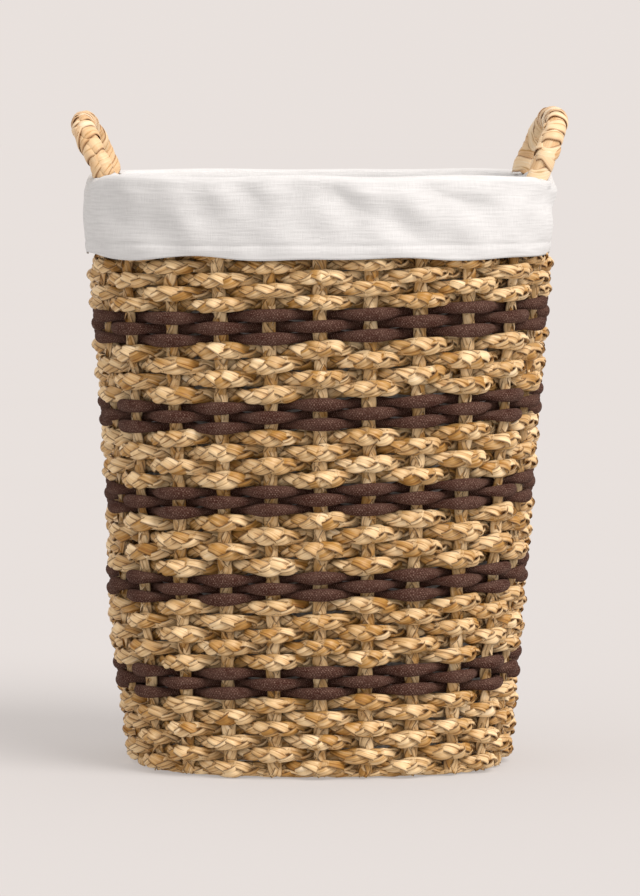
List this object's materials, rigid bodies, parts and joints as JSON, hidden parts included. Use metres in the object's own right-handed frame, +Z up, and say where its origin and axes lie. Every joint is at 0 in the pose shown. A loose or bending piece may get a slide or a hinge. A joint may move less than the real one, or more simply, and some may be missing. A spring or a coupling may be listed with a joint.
{
  "type": "woven laundry basket",
  "caption": "Tall oval laundry basket woven from plaited leaf strands with dark cord bands, wrapped hoop handles and a removable cotton liner folded over the rim.",
  "frame": {"origin": "centre of the footprint, on the ground plane", "axes": "+Z up, +X to the basket's right side where one handle is, -Y towards its front"},
  "size_m": [0.4674, 0.3936, 0.6044],
  "materials": {
    "plait": "matte plaited leaf fibre, natural straw",
    "cord": "matte dark brown knitted cord",
    "stake_plait": "matte plaited leaf fibre, natural straw",
    "handle_leaf": "matte wrapped leaf, pale straw",
    "wire": "satin black wire",
    "cotton": "off-white slub cotton"
  },
  "bodies": {
    "basket": {"cord_row_01": "cord", "cord_row_02": "cord", "cord_row_03": "cord", "cord_row_04": "cord", "cord_row_05": "cord", "cord_row_06": "cord", "cord_row_07": "cord", "cord_row_08": "cord", "cord_row_09": "cord", "cord_row_10": "cord", "cord_row_11": "cord", "cord_row_12": "cord", "cord_row_13": "cord", "cord_row_14": "cord", "cord_row_15": "cord", "floor_battens": "stake_plait", "floor_mat": "stake_plait", "foot_border": "stake_plait", "handle_core_left": "wire", "handle_core_right": "wire", "handle_wrap_left": "handle_leaf", "handle_wrap_right": "handle_leaf", "plait_row_01": "plait", "plait_row_02": "plait", "plait_row_03": "plait", "plait_row_04": "plait", "plait_row_05": "plait", "plait_row_06": "plait", "plait_row_07": "plait", "plait_row_08": "plait", "plait_row_09": "plait", "plait_row_10": "plait", "plait_row_11": "plait", "plait_row_12": "plait", "plait_row_13": "plait", "plait_row_14": "plait", "plait_row_15": "plait", "plait_row_16": "plait", "plait_row_17": "plait", "plait_row_18": "plait", "plait_row_19": "plait", "plait_row_20": "plait", "plait_row_21": "plait", "plait_row_22": "plait", "plait_row_23": "plait", "plait_row_24": "plait", "plait_row_25": "plait", "plait_row_26": "plait", "plait_row_27": "plait", "plait_row_28": "plait", "plait_row_29": "plait", "plait_row_30": "plait", "plait_row_31": "plait", "rim_border": "stake_plait", "rim_wire": "wire", "upright_stakes": "stake_plait"},
    "liner": {"liner_cuff": "cotton", "liner_floor": "cotton", "liner_side_flaps": "cotton", "liner_wall": "cotton"}
  },
  "joints": [
    {"name": "liner_lift", "type": "slide", "parent": "basket", "child": "liner", "axis": [0, 0, 1], "range_m": [0, 0.62], "deforming": ["liner_side_flaps"]}
  ]
}
